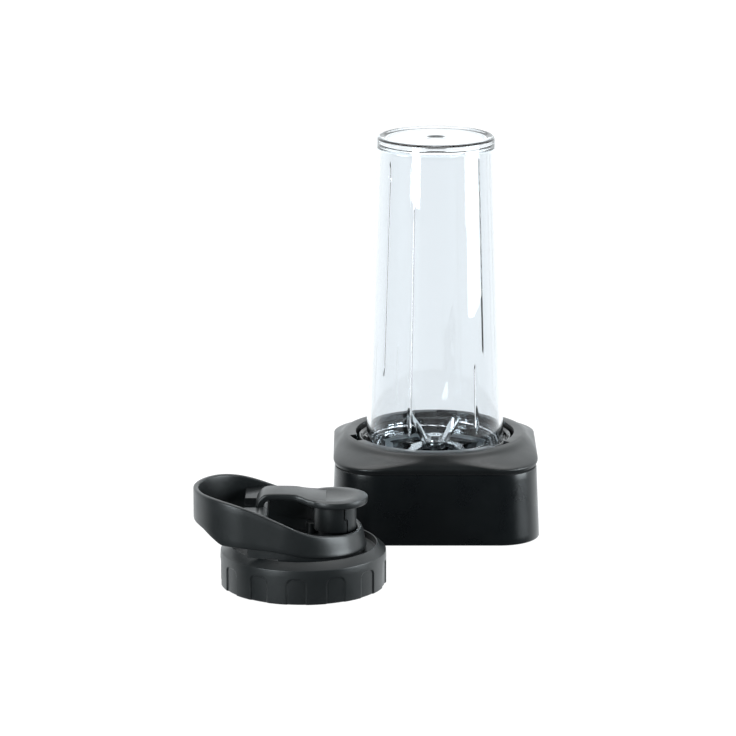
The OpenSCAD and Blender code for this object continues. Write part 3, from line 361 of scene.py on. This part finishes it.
make("collar", [patch(collar_rows, around=True, along=True)],
     matte_abs, "base", ["top_collar"], smooth=40)


# ---- Blending cup -----------------------------------------------------------------------------
# An injection-moulded cup in clear copolyester that stands on its mouth.  The wall tapers towards the
# closed end, which is thick and slightly dished with a gate mark; six fine ribs run down the inside, and
# three helical starts round the mouth screw it into the holder.

clear = bpy.data.materials.new("clear copolyester")
tree = empty_tree(clear)
# clear moulded copolyester: water-clear with a cold tint in depth, and a polish that ripples very slightly
where = put(tree, "TexCoord").outputs["Object"]
ripple = put(tree, "TexNoise", {"Vector": where, "Scale": 1 / (30 * MM), "Detail": 1.0})
lift = put(tree, "Bump", {"Height": ripple.outputs[0], "Strength": 0.12, "Distance": 0.3 * MM})
body = put(tree, "BsdfPrincipled", {"Base Color": paint("#eef2f5"), "Roughness": 0.0, "IOR": 1.5,
                                    "Transmission Weight": 1.0, "Normal": lift.outputs[0]})
put(tree, "OutputMaterial", {"Surface": body.outputs[0]})

low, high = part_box("blending_cup")
mouth_z, end_z = low.z, high.z
mouth_radius, end_radius = 44 * MM, 37.2 * MM
cup_wall, cup_floor = 2.6 * MM, 5 * MM
neck_z = mouth_z + 13.5 * MM
edge_radius = 2.2 * MM
ribs = np.radians([66.4, 246.4, 128, 308, 36, 216])
rib_high, rib_wide = 1.1 * MM, 0.75 * MM
rib_span = [(0.1, 0.93), (0.1, 0.93), (0.1, 0.31), (0.1, 0.31), (0.27, 0.93), (0.27, 0.93)]
gap = lambda a, b: (a - b + math.pi) % (2 * math.pi) - math.pi
angles = np.unique(np.round(np.concatenate(
    [np.linspace(-math.pi, math.pi, 300, endpoint=False)]
    + [gap(rib + np.linspace(-0.035, 0.035, 15), 0) for rib in ribs]), 6))
thread_lead, thread_deep, thread_sweep = 12 * MM, 1.8 * MM, 200
thread_root, thread_crest = 1.25 * MM, 0.6 * MM


def thread(angles, height, start, starts=3):
    """How high a trapezoid thread stands at each angle: its centre line climbs one lead a turn over the
    sweep of each start, and it fades over the last tenth at both ends."""
    stand = np.zeros_like(angles)
    for turn in np.arange(starts) * 360 / starts:
        on = (np.degrees(angles) - turn) % 360
        off = np.abs(height - start - thread_lead * on / 360)
        fade = np.clip(np.minimum(on, thread_sweep - on) / (0.1 * thread_sweep), 0, 1)
        stand = np.maximum(stand, fade * np.clip((thread_root - off) / (thread_root - thread_crest), 0, 1))
    return stand * thread_deep


def outer_radius(z):
    """Straight round the mouth, then a straight taper to the closed end."""
    return np.interp(z, [neck_z, end_z - edge_radius], [mouth_radius, end_radius])


def inner_radius(z):
    """The wall's thickness inside the outer radius, less the ribs: round-topped ridges that start and stop
    along the cup."""
    radius = np.full_like(angles, outer_radius(z) - cup_wall)
    share = (z - mouth_z) / (end_z - mouth_z)
    for rib, (first, last) in zip(ribs, rib_span):
        run = smooth_step(share, first, first + 0.02) * (1 - smooth_step(share, last - 0.02, last))
        radius -= rib_high * run * np.exp(-(gap(angles, rib) * radius / rib_wide) ** 2)
    return radius


thread_z = np.arange(mouth_z + 0.8 * MM, neck_z, 0.32 * MM)
rows = [(mouth_radius - 0.3 * MM, mouth_z), (mouth_radius, mouth_z + 0.3 * MM)]
rows += [(mouth_radius + thread(angles, z, mouth_z + 3.1 * MM), z) for z in thread_z]
rows += [(outer_radius(z), z) for z in np.linspace(neck_z, end_z - edge_radius, 40)]
rows += [(end_radius - edge_radius * (1 - math.cos(a)), end_z - edge_radius * (1 - math.sin(a)))
         for a in np.radians(np.arange(15, 91, 15))]
dish = end_radius - edge_radius
rows += [(dish - 1.4 * MM, end_z), (dish - 2.0 * MM, end_z - 0.3 * MM), (dish - 2.6 * MM, end_z - 1 * MM)]
rows += [(share * (dish - 2.6 * MM), end_z - 1 * MM) for share in (0.9, 0.6, 0.35, 0.2)]
gate = 5 * MM
rows += [(gate * c, end_z - 1 * MM - d * MM)
         for c, d in ((1, 0), (0.85, 0.35), (0.6, 0.6), (0.3, 0.7), (0, 0.7))]
ceiling = end_z - cup_floor
rows += [(share * (end_radius - cup_wall - 4 * MM), ceiling) for share in (0, 0.3, 0.7, 0.9)]
inner_top = ceiling - 3.5 * MM
rows += [(outer_radius(inner_top) - cup_wall - 3.5 * MM * (1 - math.sin(a)),
          inner_top + 3.5 * MM * math.cos(a))
         for a in np.radians(np.arange(0, 76, 15))]
rows += [(inner_radius(z), z)
         for z in np.concatenate([np.linspace(inner_top, neck_z, 60), [mouth_z + 0.4 * MM]])]
rows += [(mouth_radius - cup_wall + 0.4 * MM, mouth_z)]
make("cup", [patch(ring_rows(rows), around=True, along=True)], clear, "cup",
     ["blending_cup"], smooth=50)


# ---- Travel lid: cap --------------------------------------------------------------------------
# A screw cap in matte polypropylene.  Round its skirt are shallow sunk panels, open at the bottom with
# rounded tops, for grip; a sloping shoulder leads to a raised rim round a deep recess, and the drinking
# spout stands in the recess towards one side.

matte_pp = moulded("matte polypropylene", "#141718", "#1a1d1e", 0.38, 0.6 * MM, 0.016 * MM)

gasket_low, gasket_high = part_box("lid_gasket")
lid = (np.array(gasket_low) + np.array(gasket_high)) / 2
seal_low, seal_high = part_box("spout_seal")
low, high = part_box("lid_cap")
lid_radius = 50.8 * MM
lid_inside = 46.6 * MM
grip_high = 21.5 * MM
recess_radius = 44.9 * MM
shoulder = 4 * MM
lid_floor, lid_under = gasket_high.z + 2.5 * MM, gasket_high.z
spout_x = (seal_low.x + seal_high.x) / 2 - lid[0]
bore, tube = 8.3 * MM, 10.2 * MM
spout_z = seal_low.z
panels, panel_half, panel_deep, panel_top, panel_round = 13, 5.9 * MM, 0.75 * MM, 16 * MM, 3.6 * MM
first_panel = math.radians(-128.3) + panel_half / lid_radius

angles = np.linspace(-math.pi, math.pi, 676, endpoint=False)


def panel_depth(z):
    """Depth of the sunk panels: a soft step across the edge of a rounded rectangle round each one."""
    turn = 2 * math.pi / panels
    across = np.abs((angles - first_panel + turn / 2) % turn - turn / 2) * lid_radius
    side = across - (panel_half - panel_round)
    over = np.full_like(side, z - (panel_top - panel_round))
    outside = np.hypot(np.maximum(side, 0), np.maximum(over, 0)) + np.minimum(np.maximum(side, over), 0)
    return panel_deep * (1 - smooth_step(outside - panel_round, -0.35 * MM, 0.2 * MM))


def cap_rows(rows):
    """Rows round the cap from (shift of the middle along X, radius, height)."""
    return np.array([np.stack([lid[0] + shift + r * np.cos(angles), lid[1] + r * np.sin(angles),
                               np.full(len(angles), z)], -1)
                     for shift, r, z in ((s, np.broadcast_to(r, angles.shape), z) for s, r, z in rows)])


rows = [(spout_x, tube - 0.4 * MM, spout_z), (spout_x, tube, spout_z - 0.4 * MM),
        (spout_x, tube, lid_floor + 0.5 * MM), (spout_x, tube + 0.5 * MM, lid_floor)]
rows += [(spout_x * (1 - t), tube + 0.5 * MM + (recess_radius - 1.1 * MM - tube) * t, lid_floor)
         for t in (0.2, 0.4, 0.6, 0.8, 1)]
rows += [(0, recess_radius - 0.6 * MM + 0.3 * MM * k, lid_floor + h * MM)
         for k, h in ((0.6, 0.15), (0.9, 0.5), (1, 1))]
rim = fillet([(recess_radius - 0.3 * MM, lid_floor + 1 * MM, 0),
              (recess_radius - 0.1 * MM, grip_high + shoulder, 0.5 * MM),
              (lid_radius - 5.4 * MM, grip_high + shoulder, 0.4 * MM),
              (lid_radius - 0.2 * MM, grip_high - 0.3 * MM, 0.8 * MM),
              (lid_radius, panel_top + 1.5 * MM, 0)], closed=False, steps=4)
rows += [(0, r, z) for r, z in rim[1:]]
rows += [(0, lid_radius - panel_depth(z), z)
         for z in np.concatenate([np.linspace(panel_top + 1.2 * MM, panel_top - panel_round - 1 * MM, 22),
                                  np.linspace(10 * MM, 0.6 * MM, 8)])]
rows += [(0, lid_radius - 0.3 * MM - panel_depth(0), 0.15 * MM),
         (0, lid_radius - 0.8 * MM - panel_depth(0) * 0.6, 0),
         (0, lid_inside + 0.6 * MM, 0), (0, lid_inside, 0.6 * MM)]
thread_start = gasket_low.z - 3.1 * MM - thread_sweep / 360 * thread_lead
rows += [(0, lid_inside - thread(angles, z, thread_start), z) for z in np.arange(4 * MM, 16 * MM, 0.35 * MM)]
rows += [(0, lid_inside, lid_under)]
rows += [(spout_x * t, lid_inside + (bore - lid_inside) * t, lid_under) for t in (0.25, 0.5, 0.75, 1)]
rows += [(spout_x, bore, spout_z)]
make("cap", [patch(cap_rows(rows), around=True, along=True)], matte_pp, "travel_lid",
     ["lid_cap"], smooth=32)


# ---- Travel lid: carrying loop ----------------------------------------------------------------
# A broad band of the same polypropylene bent round a long oval.  Its low end stands in the cap's recess,
# its high end is free for the fingers, and two stub barrels across it hold the flip cap's hinge pin.

loop_front, loop_end = 43.2 * MM, 39 * MM
low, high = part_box("carry_loop")
front_middle, end_middle = -4.5 * MM, low.x - lid[0] + loop_end
loop_wall, loop_high, loop_lean = 3.2 * MM, 40 * MM, 2.5 * MM
# both edges in side view: x from the lid's middle in mm, share of the loop's height above the recess
upper_edge = [(-67, 1), (-50, 0.97), (-33, 0.875), (-14, 0.69), (4, 0.51), (20, 0.43), (39, 0.36)]
lower_edge = [(-67, 0.5), (-61, 0.46), (-55, 0.36), (-49.5, 0.28), (-44, 0.27), (-19, 0.235), (6, 0.14),
              (20, 0.1), (39, 0.06)]
straight = math.acos((loop_end - loop_front) / (front_middle - end_middle))
between = np.linspace(0, 1, 16)[1:-1]
turns = np.concatenate([np.linspace(-straight, straight, 190), np.full(14, straight),
                        np.linspace(straight, 2 * math.pi - straight, 110), np.full(14, -straight)])
share = np.concatenate([np.zeros(190), between, np.ones(110), 1 - between])


def loop_plan(inset):
    """The outline of two circles joined by their outer tangents, moved in by `inset`, at each direction of
    its normal."""
    radius = loop_front + (loop_end - loop_front) * share - inset
    middle = front_middle + (end_middle - front_middle) * share
    return middle + radius * np.cos(turns), radius * np.sin(turns)


def edge_height(knots, x):
    """A smooth curve through an edge's knots."""
    path = ease(knots, 200)
    return lid_floor + loop_high * np.interp(x / MM, path[:, 0], path[:, 1])


plan_x = loop_plan(0)[0]
top, bottom = edge_height(upper_edge, plan_x), edge_height(lower_edge, plan_x)
lean = loop_lean * smooth_step(plan_x, -4 * MM, 26 * MM)
rows = []
round_edge = [(0.9, 0), (0.5, 0.25), (0.15, 0.6), (0, 1.2)]
for inset, rise, up in ([(e * MM, r * MM, 0) for e, r in round_edge]
                        + [(0, 0, t) for t in (0.2, 0.4, 0.6, 0.8)]
                        + [(e * MM, -r * MM, 1) for e, r in round_edge[::-1]]
                        + [(loop_wall - e * MM, -r * MM, 1) for e, r in round_edge]
                        + [(loop_wall, 0, t) for t in (0.8, 0.6, 0.4, 0.2)]
                        + [(loop_wall - e * MM, r * MM, 0) for e, r in round_edge[::-1]]):
    x, y = loop_plan(inset + lean * up)
    rows.append(np.stack([lid[0] + x, lid[1] + y, bottom + up * (top - bottom) + rise], -1))
loop_parts = [patch(np.array(rows), around=True, along=True)]

# the thinner skirt under the band stands in the recess, and further back on the cap's rim
run = np.r_[-14:0, 0:204]
skirt_low = lid_floor + 0.1 * MM + 4.7 * MM * (1 - smooth_step(plan_x, -15 * MM, -14 * MM))
rows = []
skirt_top = bottom + 1.5 * MM
skirt_outer, skirt_inner = 1.8 * MM, loop_wall - 0.1 * MM
for inset, height in ((skirt_outer, skirt_low), (skirt_outer, skirt_top), (skirt_inner, skirt_top),
                      (skirt_inner, skirt_low)):
    x, y = loop_plan(inset)
    rows.append(np.stack([lid[0] + x, lid[1] + y, height], -1)[run])
points, faces = patch(np.array(rows), along=True)
ends = np.arange(4) * len(run)
loop_parts.append((points, np.vstack([faces, [ends, ends + len(run) - 1]])))

pin_low, pin_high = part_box("hinge_pin")
hinge = np.array([(pin_low.x + pin_high.x) / 2, lid[1], (pin_low.z + pin_high.z) / 2])
barrel = 4 * MM
tongue_half = 10.5 * MM


def lathe(profile, middle, axis="Z", count=64):
    """A profile of (distance along the axis, radius) turned round an axis through `middle`."""
    turn = np.linspace(0, 2 * math.pi, count, endpoint=False)
    along, radius = np.array(profile)[:, 0], np.array(profile)[:, 1]
    a = np.broadcast_to(along[:, None], (len(along), count))
    c, s = radius[:, None] * np.cos(turn), radius[:, None] * np.sin(turn)
    order = {"Z": (c, s, a), "Y": (s, a, c), "X": (a, c, s)}[axis]
    return patch(np.stack(order, -1) + np.array(middle), around=True)


def bar(section, first, last, bevel=0.3 * MM):
    """A section of (x, z) points drawn out along Y between two places, with its end edges broken."""
    middle = section.mean(axis=0)
    small = middle + (section - middle) * (1 - bevel / np.linalg.norm(section - middle, axis=1).mean())
    step = math.copysign(bevel, last - first)
    rows = [(middle + 0 * section, first), (small, first), (section, first + step), (section, last - step),
            (small, last), (middle + 0 * section, last)]
    return patch(np.array([np.stack([outline[:, 0], np.full(len(outline), y), outline[:, 1]], -1)
                           for outline, y in rows]), around=True)


block_back, block_low, block_high = hinge[0] - 11 * MM, hinge[2] - 1 * MM, hinge[2] + 3.6 * MM
block = fillet([(block_back, block_low, 0.4 * MM), (hinge[0], block_low, 0.4 * MM),
                (hinge[0], block_high, 0.5 * MM), (block_back, block_high, 0.7 * MM)])
for side in (-1, 1):
    inner, outer_end = side * (tongue_half + 0.4 * MM), side * 38.2 * MM
    step = side * 0.4 * MM
    loop_parts.append(lathe([(inner, 1.5 * MM), (inner, barrel - 0.4 * MM), (inner + step, barrel),
                             (outer_end, barrel), (outer_end, 1.5 * MM), (inner, 1.5 * MM)], hinge, "Y"))
    loop_parts.append(bar(block, lid[1] + inner, lid[1] + side * 37.4 * MM))
boss_out = loop_front - 6.2 * MM
for turn, tall in ((76, 7), (42, 5)):
    for side in (-1, 1):
        spot = (lid[0] + front_middle + boss_out * math.cos(math.radians(turn)),
                lid[1] + side * boss_out * math.sin(math.radians(turn)), lid_floor)
        loop_parts.append(lathe([(0, 0), (0, 3.4 * MM), ((tall - 0.4) * MM, 3.4 * MM), (tall * MM, 3 * MM),
                                 (tall * MM, 0)], spot, count=32))
make("loop", loop_parts, matte_pp, "travel_lid", ["carry_loop"], smooth=40)


# ---- Travel lid: flip cap ---------------------------------------------------------------------
# One polypropylene moulding: a hinge barrel, a broad tongue that rises and arches over, a round thumb
# disc with a shallow dish, and under it a split skirt that grips the spout.

seal_top = seal_high.z
disc_low = hinge[2] + 4.2 * MM
skirt_radius, skirt_inside = 13 * MM, 11.3 * MM
skirt_low = spout_z - 2 * MM
angles = np.linspace(-math.pi, math.pi, 128, endpoint=False)
# the disc's section in mm: shift of the middle, radius, height; the dish sits off centre, towards the hinge
disc = [(0, 0, 0), (0, 12, 0), (0, 18.8, 0), (0, 19.4, 0.15), (0, 19.85, 0.6), (0, 20, 1.2), (0, 20, 3.6),
        (0, 19.85, 3.95), (0, 19.5, 4.1), (-0.2, 18.2, 4.32), (-0.8, 16.6, 4.5), (-1.6, 15.2, 4.5),
        (-2.4, 14, 4.3), (-3, 13, 3.95), (-3.4, 11.5, 3.6), (-3.5, 8.5, 3.2), (-3.5, 5, 2.9), (-3.5, 0, 2.8)]
disc_rows = cap_rows([(spout_x + s * MM, r * MM, disc_low + up * MM) for s, r, up in disc])
flip_parts = [patch(disc_rows, around=True)]

# the stopper's wall; a groove runs round it below the disc and a stepped slit comes down its front
slit, slit_step, slit_half = math.radians(-63.5), math.radians(9), 0.45 * MM
angles = np.unique(np.round(np.concatenate(
    [np.linspace(-math.pi, math.pi, 160, endpoint=False), slit + np.linspace(-0.09, 0.25, 60)]), 6))


def slit_depth(z):
    """1 in the slit, 0 outside it: an upright cut, a step sideways at 8 mm above the foot, and on down."""
    middle = slit + (slit_step if z < skirt_low + 8 * MM else 0)
    upright = np.abs(angles - middle) * skirt_radius < slit_half
    step = (np.abs(z - skirt_low - 8 * MM) < slit_half) & (angles > slit) & (angles < slit + slit_step)
    return np.where((upright & (z < disc_low - 1.7 * MM)) | step, 1.0, 0.0)


levels = np.unique(np.concatenate([np.linspace(skirt_low + 0.4 * MM, disc_low - 1.9 * MM, 24),
                                   skirt_low + 8 * MM + np.linspace(-0.7, 0.7, 8) * MM]))
rows = [(spout_x, skirt_inside, seal_top), (spout_x, skirt_inside, skirt_low + 0.3 * MM),
        (spout_x, skirt_inside + 0.3 * MM, skirt_low), (spout_x, skirt_radius - 0.4 * MM, skirt_low)]
rows += [(spout_x, skirt_radius - 0.9 * MM * slit_depth(z), z) for z in levels]
groove = skirt_radius - 0.9 * MM
rows += [(spout_x, skirt_radius, disc_low - 1.5 * MM), (spout_x, groove, disc_low - 1.2 * MM),
         (spout_x, groove, disc_low + 0.5 * MM), (spout_x, 0, disc_low + 0.5 * MM), (spout_x, 0, seal_top)]
flip_parts.append(patch(cap_rows(rows), around=True, along=True))
bevel = 0.4 * MM
flip_parts.append(lathe([(-tongue_half, 0), (-tongue_half, barrel - bevel), (-tongue_half + bevel, barrel),
                         (tongue_half - bevel, barrel), (tongue_half, barrel - bevel), (tongue_half, 0)],
                        hinge, "Y"))

# the tongue in side view: outer x and height above the disc's underside, inner x and height, half width
tongue = ease(np.array([(-28.9, -4.2, -24, -4.2, 10.5), (-28.8, -0.7, -24, -1.2, 10.5),
                        (-27.6, 2.9, -23.4, 1.3, 10.5), (-25, 5.9, -21.5, 3, 10.5),
                        (-21.5, 7.5, -18.5, 3.6, 10.5), (-13, 7.7, -12, 3.55, 10.5),
                        (-5, 7.4, -5.5, 3.2, 10.9), (-1, 6.5, -1, 2.2, 12.2), (3, 5.4, 3, 1.2, 14.2),
                        (9, 4.5, 9, 0.4, 16.2), (14, 4, 14, 0.3, 17)]) * MM, 70)
rows = []
for out_x, out_up, in_x, in_up, half in tongue:
    thick = math.hypot(out_x - in_x, out_up - in_up)
    section = fillet([(-half, 0, 1.1 * MM), (half, 0, 1.1 * MM),
                      (half, thick, 1.5 * MM), (-half, thick, 1.5 * MM)])
    part = section[:, 1] / thick
    rows.append(np.stack([lid[0] + in_x + part * (out_x - in_x), lid[1] + section[:, 0],
                          disc_low + in_up + part * (out_up - in_up)], -1))
rows = [rows[0] * 0 + rows[0].mean(axis=0)] + rows + [rows[-1] * 0 + rows[-1].mean(axis=0)]
flip_parts.append(patch(np.array(rows), around=True))
make("flip", flip_parts, matte_pp, "flip", ["flip_cap"], smooth=40)


# ---- Finishes of the carried-over pieces ------------------------------------------------------
# The pieces inside the base, the blade holder with its blades, and the seals keep the CAD's shapes.  They
# are moulded, cast, turned, ground, plated or wound, and each gets the finish that its making leaves.

def dress(material, *names):
    """Gives CAD pieces their finish."""
    for name in names:
        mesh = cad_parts[name].data
        mesh.materials.clear()
        mesh.materials.append(material)


# rubber is dull and drinks the light, so it stays matte and nearly black
dress(moulded("soft thermoplastic rubber", "#101112", "#191a1b", 0.75, 0.5 * MM, 0.03 * MM, specular=0.3),
      "foot_ring", "seam_gasket", "vibration_grommets", "drip_seal", "blade_seal")
dress(satin_abs, "bottom_plate")
# the holder is moulded in a polished tool, to wipe clean
dress(moulded("glossy moulded ABS", "#0b0d0e", "#101314", 0.12, 3 * MM, 0.01 * MM), "blade_holder")
# glass-filled nylon, for the parts that run or carry the lead, comes out satin and a little uneven
dress(moulded("satin nylon", "#1c1e20", "#26282a", 0.45, 0.8 * MM, 0.02 * MM),
      "cooling_fan", "drive_coupling", "driven_coupling", "mains_inlet")
# food-grade silicone is milky; acetal slides without grease, and its red here is a guess
dress(moulded("clear-grey silicone", "#aab2b8", "#b8bfc4", 0.5, 1.2 * MM, 0.01 * MM, specular=0.35),
      "cup_gasket", "lid_gasket", "spout_seal")
dress(moulded("red acetal", "#8c1f18", "#9b2a20", 0.4, 0.9 * MM, 0.01 * MM),
      "plunger_1", "plunger_2", "plunger_3", "interlock_switches")
dress(moulded("grey epoxy packages", "#2a2d35", "#353942", 0.45, 0.8 * MM, 0.01 * MM), "board_parts")


def metal(name, colour, worn, roughness, stretch, line, depth, anisotropic=0.0):
    """Worked metal: fine marks drawn out along one direction, a little staining and uneven polish."""
    material = bpy.data.materials.new(name)
    tree = empty_tree(material)
    where = put(tree, "TexCoord").outputs["Object"]
    drawn = put(tree, "Mapping", {"Vector": where, "Scale": stretch})
    marks = put(tree, "TexNoise", {"Vector": drawn.outputs[0], "Scale": 1 / line, "Detail": 4.0,
                                   "Roughness": 0.7})
    stain = put(tree, "TexNoise", {"Vector": where, "Scale": 1 / (9 * MM), "Detail": 3.0})
    tint = put(tree, "Mix", {0: stain.outputs[0], 6: paint(colour), 7: paint(worn)}, data_type="RGBA")
    gloss = put(tree, "MapRange", {"Value": marks.outputs[0], "From Min": 0.3, "From Max": 0.7,
                                   "To Min": roughness - 0.06, "To Max": roughness + 0.08})
    lift = put(tree, "Bump", {"Height": marks.outputs[0], "Strength": 0.4, "Distance": depth})
    surface = put(tree, "BsdfPrincipled", {"Base Color": tint.outputs[2], "Metallic": 1.0,
                                           "Roughness": gloss.outputs[0], "Normal": lift.outputs[0],
                                           "Anisotropic": anisotropic})
    put(tree, "OutputMaterial", {"Surface": surface.outputs[0]})
    return material


# the blade stack is ground along the blades; screws, springs and clips are zinc-plated against rust
stainless = metal("ground stainless steel", "#dfe0e0", "#c9cbcc", 0.22, (1, 0.12, 1), 0.5 * MM, 0.006 * MM,
                  anisotropic=0.3)
dress(stainless, "lower_blade", "upper_blade", "blade_spacer", "blade_washer", "blade_nut", "blade_shaft")
dress(metal("bright zinc plate", "#c9cbcc", "#b4b8ba", 0.3, (1, 1, 1), 0.8 * MM, 0.01 * MM),
      "case_screws", "bracket_screws", "board_screws", "loop_screws", "shaft_clip", "bearing_clip",
      "motor_shaft", "hinge_pin", "plunger_spring_1", "plunger_spring_2", "plunger_spring_3")
dress(metal("ground bearing steel", "#b9bcbe", "#a6aaad", 0.2, (1, 1, 0.2), 0.4 * MM, 0.004 * MM),
      "upper_motor_bearing", "lower_motor_bearing", "upper_blade_bearing", "lower_blade_bearing",
      "bearing_spacer")
# motor metals as bought: rough casting, stacked sheet, lacquered wire, turned bell and nickelled magnets
dress(metal("die-cast aluminium", "#b7babc", "#a3a7aa", 0.5, (1, 1, 1), 0.9 * MM, 0.05 * MM), "motor_bracket")
dress(metal("silicon steel laminations", "#7d8084", "#6b6f74", 0.4, (0.1, 0.1, 1), 0.5 * MM, 0.04 * MM),
      "stator_core")
dress(metal("enamelled copper wire", "#b3642c", "#9c5122", 0.3, (0.15, 0.15, 1), 0.5 * MM, 0.08 * MM),
      "stator_coils")
dress(metal("turned steel", "#85888b", "#74787c", 0.35, (1, 1, 0.1), 0.4 * MM, 0.01 * MM), "rotor_bell")
dress(metal("nickel-plated magnets", "#b5b7b5", "#a4a6a4", 0.25, (1, 1, 1), 0.8 * MM, 0.006 * MM),
      "rotor_magnets", "inlet_pins")

solder_mask = moulded("green solder mask", "#0f4a2a", "#1c6b3d", 0.25, 1.0 * MM, 0.02 * MM)
dress(solder_mask, "controller_board")
